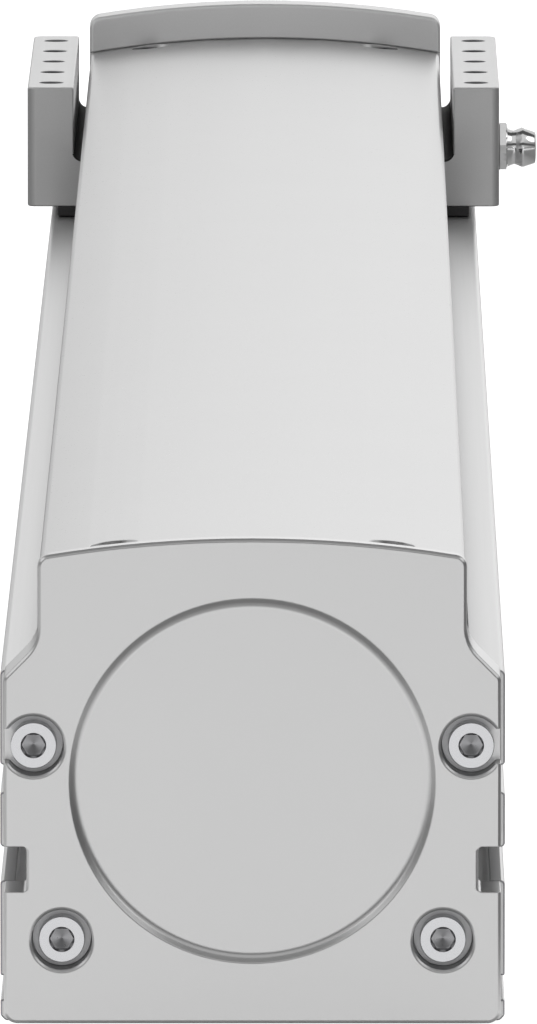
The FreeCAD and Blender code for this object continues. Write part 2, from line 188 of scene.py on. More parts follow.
def makeFloor(spec):
    half = spec["floorSize"] / 2
    mesh = bpy.data.meshes.new("floor")
    corners = [(-half, -half, 0), (half, -half, 0), (half, half, 0), (-half, half, 0)]
    mesh.from_pydata(corners, [], [(0, 1, 2, 3)])
    material = bpy.data.materials.new("paleFloorPaint")
    material.use_nodes = True
    tree = material.node_tree
    tree.nodes.clear()
    add = partial(addNode, tree)
    path = add("ShaderNodeLightPath").outputs
    place = add("ShaderNodeTexCoord").outputs["Object"]
    place = add("ShaderNodeSeparateXYZ", [place]).outputs
    across, along = place["X"], place["Y"]
    toLeft = add(times, (across, -1.0))
    toIdle = add(times, (along, -1.0))

    # gaps in the cards
    onLeft = add(below, (across, 0.0))
    leftFade = add(fade, (toIdle, *spec["leftGap"]))
    leftGap = add(times, (onLeft, leftFade))
    start, full, wane, end = spec["rightGap"]
    onRight = add(above, (across, 0.0))
    opening = add(fade, (along, start, full))
    closing = add(fade, (toIdle, -end, -wane))
    window = add(times, (opening, closing))
    gaps = add(timesPlus, (onRight, window, leftGap))
    noGaps = add(minus, (1.0, gaps))

    # cards beside the object, which swing outwards past its ends
    fromMiddle = add(sizeOf, (along,))
    past = add(minus, (fromMiddle, spec["endsAt"]))
    ahead = add(larger, (past, 0.0))
    fromAxis = add(sizeOf, (across,))
    outwards = add(timesPlus, (ahead, -spec["splay"], fromAxis))
    aside = add(fade, (outwards, *spec["cardReach"]))
    leftReach, backReach = spec["backLeft"]
    left = add(fade, (toLeft, *leftReach))
    behind = add(fade, (along, *backReach))
    dull = add(times, (left, behind))
    beside = add(times, (aside, noGaps))
    card = add(larger, (dull, beside))
    colours = {6: linear(spec["floorColour"]), 7: linear(spec["cardColour"])}
    colour = add("ShaderNodeMix", {0: card} | colours, data_type="RGBA")

    # what the metal sees of the floor
    near = add(minus, (1.0, aside))
    farGap = add(times, (aside, gaps))
    throughGap = add(times, (farGap, spec["mirrorGap"]))
    mirror = add(timesPlus, (near, spec["mirrorNear"], throughGap))
    bright = add(minus, (1.0, dull))
    mirror = add(times, (mirror, bright))
    facing = add("ShaderNodeLayerWeight", {"Blend": 0.5}).outputs["Facing"]
    flat = add(fade, (facing, *spec["glance"]))
    rays = (path["Is Glossy Ray"], path["Is Transmission Ray"])
    mirroring = add(larger, rays)
    shine = add(times, (mirroring, flat))
    mirrored = add(times, (shine, mirror))

    # white where the camera sees it
    white = add(timesPlus, (card, spec["cardWhite"], spec["floorWhite"]))
    level = add(timesPlus, (path["Is Camera Ray"], white, mirrored))
    paint = add("ShaderNodeBsdfDiffuse", {"Color": colour.outputs[2]})
    glow = add("ShaderNodeEmission", {"Strength": level})
    both = add("ShaderNodeAddShader", (paint, glow))
    add("ShaderNodeOutputMaterial", {"Surface": both})
    newPiece("floor", mesh, material)


def makeWorld(spec):
    world = bpy.data.worlds.new("softStudio")
    scene.world = world
    world.use_nodes = True
    tree = world.node_tree
    tree.nodes.clear()
    add = partial(addNode, tree)
    way = add("ShaderNodeTexCoord").outputs["Generated"]
    part = add("ShaderNodeSeparateXYZ", [way]).outputs
    tilt = (spec["towardsRight"], spec["towardsDrive"], 0)
    lean = add("ShaderNodeVectorMath", (way, tilt), operation="DOT_PRODUCT").outputs["Value"]
    plain = add(plus, (lean, spec["sides"]))
    lengthwise = add(times, (part["Y"], part["Y"]))
    horizon = add(timesPlus, (lengthwise, spec["ends"], plain))
    rise = add(fade, (part["Z"], *spec["panelRise"]))
    level = add("ShaderNodeMix", {0: rise, 2: horizon, 3: spec["ceiling"]})
    toIdle = add(times, (part["Y"], -1.0))
    turn = add(angleOf, (part["Z"], toIdle))
    for joint in spec["gaps"]:
        middle, inner, outer = [math.radians(angle) for angle in joint]
        off = add(minus, (turn, middle))
        away = add(sizeOf, (off,))
        beside = add(fade, (away, inner, outer))
        level = add("ShaderNodeMix", {0: beside, 2: spec["gapLevel"], 3: level})
    seen = add("ShaderNodeLightPath").outputs["Is Camera Ray"]
    shown = add("ShaderNodeMix", {0: seen, 2: level, 3: 1.0})      # white where it is looked at
    light = add("ShaderNodeBackground", {"Strength": shown})
    add("ShaderNodeOutputWorld", {"Surface": light})


softLamps = {       # places and sizes in m
    "backSoft": {"place": (0.7, 3.0, 1.3), "aim": (0, 0, 0.03), "size": 2.4, "watts": 7.6},
    "leftFill": {"place": (-1.95, -0.45, 1.7), "aim": (0, -0.3, 0.03), "size": 1.4, "watts": 4.5},
    "rightFill": {"place": (1.95, -0.45, 1.7), "aim": (0, -0.3, 0.03), "size": 1.4, "watts": 4.5},
}


def makeLamp(name, spec):
    data = bpy.data.lights.new(name, "AREA")
    data.shape = "DISK"
    data.size = spec["size"]
    data.energy = spec["watts"]
    lamp = bpy.data.objects.new(name, data)
    lamp.location = spec["place"]
    lamp.rotation_euler = (Vector(spec["aim"]) - lamp.location).to_track_quat("-Z", "Y").to_euler()
    scene.collection.objects.link(lamp)


makeFloor(studio)
makeWorld(studio)
for lampName, lampSpec in softLamps.items():
    makeLamp(lampName, lampSpec)
scene.view_settings.view_transform = "Standard"
print("studio lit")


# finishes: a grain drives colour, roughness and relief, and a second pattern may be mixed into the colour

metal = {"Metallic": 1.0}


def makeFinish(name, base, colours, roughness, grain, second=None, share=0.0,
               relief=None, reliefFromBoth=False):
    # patterns of (size in mm, detail), and where needed their stretch and roughness
    material = bpy.data.materials.new(name)
    material.use_nodes = True
    tree = material.node_tree
    shader = tree.nodes["Principled BSDF"]
    add = partial(addNode, tree)
    for socket, value in base.items():
        shader.inputs[socket].default_value = value

    def addPattern(size, detail, stretch=(1, 1, 1), roughness=0.5):
        place = add("ShaderNodeTexCoord").outputs["Object"]
        scale = [1 / (size * mm * s) for s in stretch]
        spread = add("ShaderNodeMapping", {"Vector": place, "Scale": scale})
        values = {"Vector": spread, "Scale": 1.0, "Detail": detail, "Roughness": roughness}
        return add("ShaderNodeTexNoise", values)

    fine = mixed = addPattern(*grain)
    if second:
        mixed = add("ShaderNodeMix", {0: share, 2: fine, 3: addPattern(*second)})
    dark, light = [linear(colour) for colour in colours]
    colour = add("ShaderNodeMix", {0: mixed, 6: dark, 7: light}, data_type="RGBA")
    low, high = roughness
    polish = add(rangeNode, {0: fine, 3: low, 4: high})
    tree.links.new(colour.outputs[2], shader.inputs["Base Color"])
    tree.links.new(polish.outputs[0], shader.inputs["Roughness"])
    if relief:
        height = mixed if reliefFromBoth else fine
        bump = add("ShaderNodeBump", {"Height": height, "Distance": relief * mm, "Strength": 1.0})
        tree.links.new(bump.outputs[0], shader.inputs["Normal"])
    return material


# extruded aluminium, etched and clear anodised: satin grey with faint lines along the die
extrusionFinish = makeFinish(
    "anodisedExtrusion", metal, colours=("#C7C7C7", "#D5D5D5"), roughness=(0.33, 0.41),
    grain=(0.35, 2.0), second=(0.5, 3.0, (1, 240, 1), 0.6), share=0.5,
    relief=0.006, reliefFromBoth=True)

# drawn aluminium strip, fine bead blast and clear anodise: even satin grey with a fine sparkle,
# a little less bright at a flat glance, where the blast shades itself
coverFinish = makeFinish(
    "blastedCover", {"Metallic": 1.0, "Specular Tint": linear("#EAEAEA")},
    colours=("#CACACA", "#D3D3D3"), roughness=(0.265, 0.295),
    grain=(0.45, 3.0), second=(22, 2.0), share=0.3, relief=0.004)

# die cast aluminium, fine blasted and clear coated: flat pale grey, hardly any grain
castFinish = makeFinish(
    "castShell", metal, colours=("#C7C7C7", "#CBCBCB"), roughness=(0.28, 0.34),
    grain=(0.3, 2.0), second=(14, 2.0), share=0.5, relief=0.003)

# the same casting with a coarser blast: duller than the cap, and paler as painted light that brightens the
# far head
headPaintedLightFinish = makeFinish(
    "castHead", {"Metallic": 0.45}, colours=("#E0E0E0", "#E6E6E6"), roughness=(0.34, 0.40),
    grain=(0.4, 3.0), relief=0.005)

# the head's face, which looks towards the idle end: bright grey, painted light that brightens that side
headFacePaintedLight = makeFinish(
    "facedAluminium", metal, colours=("#EDEDED", "#F3F3F3"), roughness=(0.30, 0.38), grain=(0.3, 2.0))

# counterbores cut by a piloted drill: satin grey, duller than the cast face
boreFinish = makeFinish(
    "boredAluminium", metal, colours=("#CACACB", "#D2D2D3"), roughness=(0.40, 0.50), grain=(0.2, 2.0))

# inside of the sensor slots: chalky pale grey, drawn lengthwise, painted light that makes the slot's floor
# lighter than the same anodise on its lips
slotPaintedLight = makeFinish(
    "slotAnodise", {"Metallic": 0.15}, colours=("#DCDCDC", "#F0F0F0"), roughness=(0.40, 0.55),
    grain=(0.4, 3.0, (1, 200, 1)))

# lips of those slots: darker grey, drawn lengthwise, the same anodise with painted shade
lipPaintedShade = makeFinish(
    "lipAnodise", {"Metallic": 0.15}, colours=("#8C8C8D", "#A8A8A9"), roughness=(0.40, 0.55),
    grain=(0.4, 3.0, (1, 200, 1)))

# tapped aluminium: dark grey with fine turns, painted shade for the light that the thread and the hole
# don't let in
threadShadeFinish = makeFinish(
    "tappedHole", metal, colours=("#767678", "#A6A6A8"), roughness=(0.30, 0.42),
    grain=(0.35, 1.0, (40, 40, 1)))

# deburred edge of the sawn profile, without anodising: dull grey
sawnFinish = makeFinish(
    "sawnAluminium", metal, colours=("#98989A", "#A4A4A6"), roughness=(0.36, 0.46), grain=(0.3, 2.0))

# milled aluminium plate, clear anodised: satin grey with fine cutter lines along the travel
milledFinish = makeFinish(
    "milledAluminium", metal, colours=("#C4C4C4", "#D0D0D0"), roughness=(0.36, 0.46),
    grain=(0.25, 2.0, (1, 90, 1)), second=(9, 2.0), share=0.4, relief=0.004)

# zinc plated steel, bright: silvery with a faint bluish haze
platedFinish = makeFinish(
    "platedSteel", metal, colours=("#C3C4C6", "#D0D0D2"), roughness=(0.20, 0.30), grain=(0.8, 3.0))

# turned steel with bright nickel: pale mirror
nickelFinish = makeFinish(
    "brightNickel", metal, colours=("#EFEFEF", "#F6F6F6"), roughness=(0.08, 0.14), grain=(0.6, 2.0))

# painted shade on the bridge, where it runs under the cover: matt black with a fine grain, standing in for
# the deep shade in the slots beside the cover
bridgeShadeFinish = makeFinish(
    "dryFilm", {"IOR": 1.45}, colours=("#181818", "#2C2C2C"), roughness=(0.55, 0.75),
    grain=(0.4, 3.0), relief=0.02)

# inside of a cold forged socket, thinly plated: dull dark grey, darker than the head as painted shade in
# the recess
socketShadeFinish = makeFinish(
    "forgedSocket", metal, colours=("#929294", "#9E9EA0"), roughness=(0.24, 0.34), grain=(0.5, 3.0))

# hardened and ground bearing steel: dark bright metal with fine grinding lines
groundFinish = makeFinish(
    "groundSteel", metal, colours=("#A9AAAD", "#C6C7C9"), roughness=(0.20, 0.32),
    grain=(0.3, 2.0, (1, 60, 1)))

# black oxide on turned steel: near black with a soft oily sheen
oxideFinish = makeFinish(
    "blackOxide", {"Metallic": 0.6}, colours=("#26272A", "#34353A"), roughness=(0.34, 0.48),
    grain=(1.2, 3.0))

# moulded black acetal: matt black with a fine spark-eroded texture
acetalFinish = makeFinish(
    "blackAcetal", {"IOR": 1.48}, colours=("#2C2C2D", "#3C3C3D"), roughness=(0.45, 0.60),
    grain=(0.25, 2.0), relief=0.01)

# moulded nitrile rubber: dull black with a light bloom
rubberFinish = makeFinish(
    "blackRubber", {"IOR": 1.52}, colours=("#1A1A1A", "#2B2B2A"), roughness=(0.62, 0.8), grain=(2.5, 4.0))
print("finishes made")


# skins: welded copies of the CAD pieces with softly broken edges

edgeRules = {
    "alike": 0.93,          # cosine between edges that run on in nearly the same way
    "same": 1e-4,           # less than this apart, two ways are one
    "shortShare": 0.42,     # the most that a break takes of a short neighbour's length
    "leastRoom": 0.4,       # keeps the shift finite where two edges fold back
    "cornerPull": 0.634,    # how far a corner's middle goes in, which rounds it
}


def rawMesh(work, name):
    mesh = bpy.data.meshes.new(name)
    work.to_mesh(mesh)
    work.free()
    return mesh


def cleaned(work):
    bmesh.ops.remove_doubles(work, verts=work.verts, dist=weldGap)
    bmesh.ops.dissolve_limit(work, angle_limit=flatTurn, use_dissolve_boundaries=False,
                             verts=work.verts, edges=work.edges)
    return work


def weldedCopy(node):
    work = bmesh.new()
    work.from_mesh(frame["nodes"][node].data)
    return cleaned(work)


def boxTool(boxes):
    # boxes, each given by two corners in mm
    work = bmesh.new()
    for low, high in boxes:
        size = Vector(high) - Vector(low)
        place = Matrix.Translation((Vector(low) + size / 2) * mm) @ Matrix.Diagonal([*(size * mm), 1])
        bmesh.ops.create_cube(work, size=1.0, matrix=place)
    return work


def archTool(spec, front):
    # a thin strip that follows the cover's arch, from the head's face inwards
    radius, steps = spec["radius"], spec["steps"]
    across = [spec["reach"] * i / steps for i in range(-steps, steps + 1)]
    arch = [(x, spec["crown"] - radius + math.sqrt(radius ** 2 - x ** 2)) for x in across]
    section = [(x, z + spec["gap"]) for x, z in arch]
    section += [(x, z - spec["overlap"]) for x, z in reversed(arch)]
    work = bmesh.new()
    near = [work.verts.new((x * mm, front - mm, z * mm)) for x, z in section]
    far = [work.verts.new((x * mm, front + spec["depth"] * mm, z * mm)) for x, z in section]
    work.faces.new(near)
    work.faces.new(list(reversed(far)))
    for i in range(len(section)):
        work.faces.new((near[i], near[i - 1], far[i - 1], far[i]))
    bmesh.ops.recalc_face_normals(work, faces=work.faces)
    return work


def cutCopy(node, tool):
    # a welded copy with the tool's shape cut out of it
    piece = newPiece("cutBody", rawMesh(weldedCopy(node), "cutBody"))
    cutter = newPiece("cutTool", rawMesh(tool, "cutTool"))
    modifier = piece.modifiers.new("cut", "BOOLEAN")
    modifier.operation = "DIFFERENCE"
    modifier.solver = "EXACT"
    modifier.object = cutter
    makePlain(piece)
    work = bmesh.new()
    work.from_mesh(piece.data)
    for used in (piece, cutter):
        bpy.data.objects.remove(used)
    return cleaned(work)


def flatGroups(work):
    # faces that lie in one plane and touch get one number
    numbers = {}
    for first in work.faces:
        if first in numbers:
            continue
        numbers[first] = len(numbers)
        queue = [first]
        while queue:
            face = queue.pop()
            for edge in face.edges:
                for near in edge.link_faces:
                    if near not in numbers and edge.calc_face_angle() < flatTurn:
                        numbers[near] = numbers[first]
                        queue.append(near)
    return numbers


def cornerSectors(corner, sharp):
    # the runs of faces round a corner, from one sharp edge to the next
    found = {}
    for start in corner.link_edges:
        if start not in sharp:
            continue
        for face in start.link_faces:
            run, edge = [face], start
            while True:
                edge = next(e for e in run[-1].edges if corner in e.verts and e is not edge)
                if edge in sharp:
                    break
                run.append(next(f for f in edge.link_faces if f is not run[-1]))
            found.setdefault(frozenset(run), (run, start, edge))
    return list(found.values())


def wayAlong(edge, corner):
    return (edge.other_vert(corner).co - corner.co).normalized()


def inwards(face, edge, corner):
    # away from the edge, in the face
    along = edge.other_vert(corner).co - corner.co
    side = face.normal.cross(along).normalized()
    loop = next(l for l in face.loops if l.edge is edge)
    forward = loop.vert is corner
    return side if forward else -side


def cornerRoom(corner, sharp, width):
    # short neighbours limit how far an edge can be broken
    ways = [wayAlong(edge, corner) for edge in corner.link_edges if edge in sharp]
    room = width
    for edge in corner.link_edges:
        if edge.calc_face_angle() < flatTurn:
            continue
        way = wayAlong(edge, corner)
        if all(abs(way.dot(other)) < edgeRules["alike"] or edge in sharp for other in ways):
            others = [other for other in ways if (way - other).length > edgeRules["same"]]
            if not others or min(abs(way.dot(other)) for other in others) < edgeRules["alike"]:
                room = min(room, edgeRules["shortShare"] * edge.calc_length())
    return room


def meanNormal(faces, corner):
    total = Vector()
    for face in faces:
        total += face.normal * next(l for l in face.loops if l.vert is corner).calc_angle()
    return total.normalized()


def breakEdges(work, widthAt):
    turning = [e for e in work.edges if len(e.link_faces) == 2 and e.calc_face_angle() > sharpTurn]
    sharp = dict.fromkeys(turning)      # keeps its order, so that each run gives the same mesh
    groups = flatGroups(work)
    out = bmesh.new()
    facing = out.verts.layers.float_vector.new("facing")

    def addVert(place, normal):
        vert = out.verts.new(place)
        vert[facing] = normal
        return vert

    # where each corner goes in each face, and the middle of each broken edge at both ends
    moved, middles, corners = {}, {}, []
    for corner in work.verts:
        sectors = cornerSectors(corner, sharp)
        if len(sectors) < 2:
            only = addVert(corner.co, meanNormal(corner.link_faces, corner))
            for face in corner.link_faces:
                moved[corner, face] = only
            for edge in corner.link_edges:
                middles[corner, edge] = only
            continue
        room = cornerRoom(corner, sharp, widthAt(corner.co / mm) * mm)
        shifts = {}
        for run, start, end in sectors:
            a = inwards(run[0], start, corner)
            b = inwards(run[-1], end, corner)
            shift = (a + b) * (room / max(edgeRules["leastRoom"], 1 + a.dot(b)))
            vert = addVert(corner.co + shift, meanNormal(run, corner))
            for face in run:
                moved[corner, face] = vert
                shifts[face] = shift
        ends = [e for e in corner.link_edges if e in sharp]
        shared = None
        for edge in ends:
            along = wayAlong(edge, corner)
            normal = sum((moved[corner, f][facing] for f in edge.link_faces), Vector()).normalized()
            total = sum((shifts[f] for f in edge.link_faces), Vector())
            lengthwise = along * total.dot(along)
            opening = math.pi - edge.calc_face_angle()
            pull = 0.5 / (1 + math.sin(opening / 2))
            if len(ends) == 2:
                shared = shared or addVert(corner.co + total * pull, normal)
                middles[corner, edge] = shared
            else:
                shift = (total - lengthwise) * pull + lengthwise / 2
                middles[corner, edge] = addVert(corner.co + shift, normal)
        if len(ends) > 2:
            corners.append((corner, sectors))

    def addFace(*verts):
        ring = [v for i, v in enumerate(verts) if v is not verts[i - 1]]
        if len(set(ring)) > 2:
            out.faces.new(ring)

    # two strips along each broken edge
    for edge in sharp:
        one, two = edge.verts
        for face in edge.link_faces:
            addFace(moved[one, face], moved[two, face], middles[two, edge], middles[one, edge])

    # a fan where three or more of them meet
    for corner, sectors in corners:
        chain = [sectors[0]]
        while len(chain) < len(sectors):
            tail = chain[-1][2]
            following = next(s for s in sectors if s not in chain and tail in s[1:])
            chain.append(following if following[1] is tail else (following[0], following[2], following[1]))
        ring = []
        for run, start, end in chain:
            ring += [moved[corner, run[0]], middles[corner, end]]
        around = [moved[corner, run[0]] for run, start, end in chain]
        mean = sum((vert.co - corner.co for vert in around), Vector()) / len(chain)
        normal = sum((vert[facing] for vert in around), Vector()).normalized()
        centre = addVert(corner.co + mean * edgeRules["cornerPull"], normal)
        for i, vert in enumerate(ring):
            addFace(ring[i - 1], vert, centre)

    # what is left of each flat face
    members = {}
    for face, number in groups.items():
        members.setdefault(number, []).append(face)
    for number, faces in members.items():
        if len(faces) == 1 and len(faces[0].verts) < 5:
            addFace(*[moved[v, faces[0]] for v in faces[0].verts])
            continue
        rim = {}
        for face in faces:
            for edge in face.edges:
                if any(groups[near] != number for near in edge.link_faces):
                    ends = [moved[v, face] for v in edge.verts]
                    if ends[0] is not ends[1]:
                        rim[out.edges.get(ends) or out.edges.new(ends)] = face
        bmesh.ops.triangle_fill(out, edges=list(rim), use_beauty=True, normal=faces[0].normal)
    bmesh.ops.recalc_face_normals(out, faces=out.faces)
    work.free()
    return out


def meshFrom(work, name):
    mesh = rawMesh(work, name)
    mesh.shade_smooth()
    mesh.set_sharp_from_angle(angle=creaseTurn)
    return mesh


def softMesh(work, name):
    # shaded by the normals that the broken edges ask for, so that flat faces stay flat
    mesh = rawMesh(work, name)
    wanted = mesh.attributes["facing"]
    normals = [value.vector.copy() for value in wanted.data]
    mesh.attributes.remove(wanted)
    mesh.shade_smooth()
    mesh.normals_split_custom_set_from_vertices(normals)
    return mesh


def standFor(piece, slot, *nodes):
    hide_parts(*nodes)
    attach(piece, bodyOf(nodes[0]))


def addTo(piece, body):
    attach(piece, body)


def makeSkin(spec, finish, widthAt=None, tool=None):
    work = cutCopy(spec["node"], tool) if tool else weldedCopy(spec["node"])
    work = breakEdges(work, widthAt or (lambda place: spec["edge"]))
    skin = newPiece(spec["name"], softMesh(work, spec["name"]), finish)
    standFor(skin, spec["slot"], spec["node"])
    return skin


def paintFaces(piece, finish, test):
    # faces that pass the test, given their middle in mm and their normal, get their own finish
    piece.data.materials.append(finish)
    for face in piece.data.polygons:
        if test(face.center / mm, face.normal):
            face.material_index = len(piece.data.materials) - 1


baseProfile = {
    "name": "baseProfile", "node": "profile", "edge": 0.2, "slot": "anodised_aluminium",
    "end": 319.5,                   # mm from the middle
    "sawnLean": (0.05, 0.95),       # lean of the broken edges at the sawn ends
    "lip": (25.5, 26.4, 41.0),      # thin lips at the top: from, to, above
    "lipEdge": 0.03,
    "sensorSlot": (24.1, 28.2),     # across
    "slotLip": (28.2, 29.6),
    "slotHeights": (15.1, 22.5),
}
idleEndCap = {
    "name": "idleEndCap", "node": "end_cap", "edge": 0.14, "slot": "cast_aluminium",
    "axis": 30.0, "front": -328.5,
    "floorEdge": 21.0, "close": 0.05, "fillet": 0.48,       # round the floor of the disc
    "screws": ((25.93, 34.15), (22.6, 11.0)),               # mm across and up
    "bore": 3.56, "thinWall": 28.2,
    "notch": (26.0, 27.3), "notchHeights": (16.75, 22.1), "notchEdge": 0.45,
    "cuts": [((27.5, -332, 32.1), (32, -326.4, 36.2)), ((-32, -332, 32.1), (-27.5, -326.4, 36.2))],
}
driveHead = {
    "name": "driveHead", "node": "drive_head", "edge": 0.2, "slot": "cast_aluminium",
    "face": -0.98,                      # its normal along the axis is below this
}
coverStrip = {"name": "coverStrip", "node": "cover", "edge": 0.15, "slot": "anodised_aluminium"}
coverGap = {        # narrow gap between the head and the cover's end
    "crown": 58.2, "radius": 150.0, "reach": 30.0, "steps": 24,
    "gap": 0.06, "overlap": 0.05, "depth": 0.6,
}
tableCarriage = {
    "name": "tableCarriage", "node": "carriage", "edge": 0.25, "slot": "machined_aluminium",
    "holes": (30.0, 260.5, 16.0),       # across, first, pitch
    "holeRadius": 1.72, "holeReach": 2.0, "holeEdge": 0.16,
    "wings": 27.0,                      # where they begin, across
    "bridge": (49.9, 51.5), "bridgeLean": 0.1,
}


def capEdge(place):
    onFace = place.y < idleEndCap["front"]
    fromAxis = math.hypot(place.x, place.z - idleEndCap["axis"])
    if onFace and abs(fromAxis - idleEndCap["floorEdge"]) < idleEndCap["close"]:
        return idleEndCap["fillet"]
    inner, outer = idleEndCap["notch"]
    low, high = idleEndCap["notchHeights"]
    rise = min(place.z - low, high - place.z)
    if onFace and inner < abs(place.x) < outer and rise > 0:
        return max(idleEndCap["edge"], min(rise, idleEndCap["notchEdge"]))
    return idleEndCap["edge"]


def screwDistance(place):
    return min(math.hypot(abs(place.x) - x, place.z - z) for x, z in idleEndCap["screws"])


def inBore(middle, normal):
    return screwDistance(middle) < idleEndCap["bore"] and abs(middle.x) < idleEndCap["thinWall"]


def profileEdge(place):
    inner, outer, low = baseProfile["lip"]
    onLip = inner < abs(place.x) < outer and place.z > low
    return baseProfile["lipEdge"] if onLip else baseProfile["edge"]


def onSawnEdge(middle, normal):
    least, most = baseProfile["sawnLean"]
    return abs(middle.y) > baseProfile["end"] - baseProfile["edge"] and least < abs(normal.y) < most


# bands of the slots' faces: the floor gets painted light, the lips painted shade
def alongSlot(band, middle, normal):
    inner, outer = baseProfile[band]
    low, high = baseProfile["slotHeights"]
    return inner <= abs(middle.x) < outer and low < middle.z < high and abs(normal.y) < 0.5


def holeDistance(place):
    across, first, pitch = tableCarriage["holes"]
    steps = (place.y - first) / pitch
    return math.hypot(abs(place.x) - across, (steps - round(steps)) * pitch)


def tableEdge(place):
    atHole = holeDistance(place) < tableCarriage["holeReach"]
    return tableCarriage["holeEdge"] if atHole else tableCarriage["edge"]


def inTableHole(middle, normal):
    return holeDistance(middle) < tableCarriage["holeRadius"] and abs(middle.x) > tableCarriage["wings"]


# faces on the bridge's top, which get the black painted shade
def onBridge(middle, normal):
    low, high = tableCarriage["bridge"]
    between = low < middle.z < high and abs(middle.x) < tableCarriage["wings"]
    return between and normal.z > tableCarriage["bridgeLean"]


# faces of the head turned to the idle end, which get the brighter painted light
def onHeadFace(middle, normal):
    return normal.y < driveHead["face"]


profile = makeSkin(baseProfile, extrusionFinish, profileEdge)
paintFaces(profile, sawnFinish, onSawnEdge)
# the slot's floor gets painted light and its lips painted shade
paintFaces(profile, slotPaintedLight, partial(alongSlot, "sensorSlot"))
paintFaces(profile, lipPaintedShade, partial(alongSlot, "slotLip"))
endCap = makeSkin(idleEndCap, castFinish, capEdge, boxTool(idleEndCap["cuts"]))
paintFaces(endCap, boreFinish, inBore)
# the head takes the paler copy of the cast finish, painted light
head = makeSkin(driveHead, headPaintedLightFinish, tool=archTool(coverGap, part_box("cover")[1].y))
# faces turned to the idle end get the brighter painted light
paintFaces(head, headFacePaintedLight, onHeadFace)
makeSkin(coverStrip, coverFinish)
table = makeSkin(tableCarriage, milledFinish, tableEdge)
# the insides of the table's tapped holes get the painted shade
paintFaces(table, threadShadeFinish, inTableHole)
# the bridge's top in the slots gets the black painted shade
paintFaces(table, bridgeShadeFinish, onBridge)
print("main skins made")


# smaller pieces that keep their CAD shape, with broken edges

metalSkins = {      # node, broken edge in mm, slot, finish
    "nutHousing": ("nut_housing", 0.3, "machined_aluminium", milledFinish),
    "ballNut": ("ball_nut", 0.25, "hardened_steel", groundFinish),
    "lockNut": ("spindle_lock_nut", 0.2, "black_oxide_steel", oxideFinish),
    "retainerRing": ("bearing_retainer", 0.2, "black_oxide_steel", oxideFinish),
}
for end in ("fixed", "floating"):
    for ring in ("outer", "inner"):
        node = f"{end}_bearing_{ring}_ring"
        metalSkins[end + ring.capitalize() + "Ring"] = (node, 0.25, "hardened_steel", groundFinish)
runnerSkins = {}
for end in ("front", "rear"):
    for side in ("left", "right"):
        place = end.capitalize() + side.capitalize()
        node = f"{end}_{side}"
        runnerSkins["runner" + place] = ("runner_" + node, 0.2, "hardened_steel", groundFinish)
        runnerSkins["runnerCaps" + place] = ("runner_caps_" + node, 0.3, "black_polymer", acetalFinish)
blackSkins = {
    "gapSealLeft": ("gap_seal_left", 0.12, "black_polymer", acetalFinish),
    "gapSealRight": ("gap_seal_right", 0.12, "black_polymer", acetalFinish),
    "idleBuffers": ("buffers_idle_end", 0.6, "black_rubber", rubberFinish),
    "driveBuffers": ("buffers_drive_end", 0.6, "black_rubber", rubberFinish),
}
for name, (node, edge, slot, finish) in (metalSkins | runnerSkins | blackSkins).items():
    makeSkin({"name": name, "node": node, "edge": edge, "slot": slot}, finish)
print("small skins made")


# node trees: rows of copies, and the screw's thread

fullTurn = 2 * math.pi
quarterTurn = math.pi / 2


def startTree(name, sockets):
    tree = bpy.data.node_groups.new(name, "GeometryNodeTree")
    tree.interface.new_socket("Geometry", in_out="INPUT", socket_type="NodeSocketGeometry")
    for label, kind in sockets.items():
        tree.interface.new_socket(label, in_out="INPUT", socket_type="NodeSocket" + kind)
    tree.interface.new_socket("Geometry", in_out="OUTPUT", socket_type="NodeSocketGeometry")
    return tree, addNode(tree, "NodeGroupInput").outputs


def endTree(tree, given, made):
    add = partial(addNode, tree)
    both = add("GeometryNodeJoinGeometry", [made])
    tree.links.new(given["Geometry"], both.inputs[0])
    plain = add("GeometryNodeRealizeInstances", [both])
    welded = add("GeometryNodeMergeByDistance", {"Geometry": plain, "Distance": weldGap})
    done = add("GeometryNodeSetMaterial", {"Geometry": welded, "Material": given["Finish"]})
    add("NodeGroupOutput", [done])
    return tree


def makeRowTree():
    tree, given = startTree("rowOfCopies", {
        "Template": "Object", "Count": "Int", "Start": "Vector", "Step": "Vector",
        "Turn": "Vector", "Size": "Float", "Finish": "Material"})
    add = partial(addNode, tree)
    places = {"Count": given["Count"], "Start Location": given["Start"], "Offset": given["Step"]}
    line = add("GeometryNodeMeshLine", places, mode="OFFSET")
    shape = add("GeometryNodeObjectInfo", {"Object": given["Template"]})
    copies = add("GeometryNodeInstanceOnPoints", {
        "Points": line, "Instance": shape.outputs["Geometry"],
        "Rotation": given["Turn"], "Scale": given["Size"]})
    return endTree(tree, given, copies)


threadForm = {
    "track": (0.35, 1.0),       # part of the helix's wave that the ball track takes up
    "fade": (0.1, 0.6),         # leads from each end over which it comes in
}


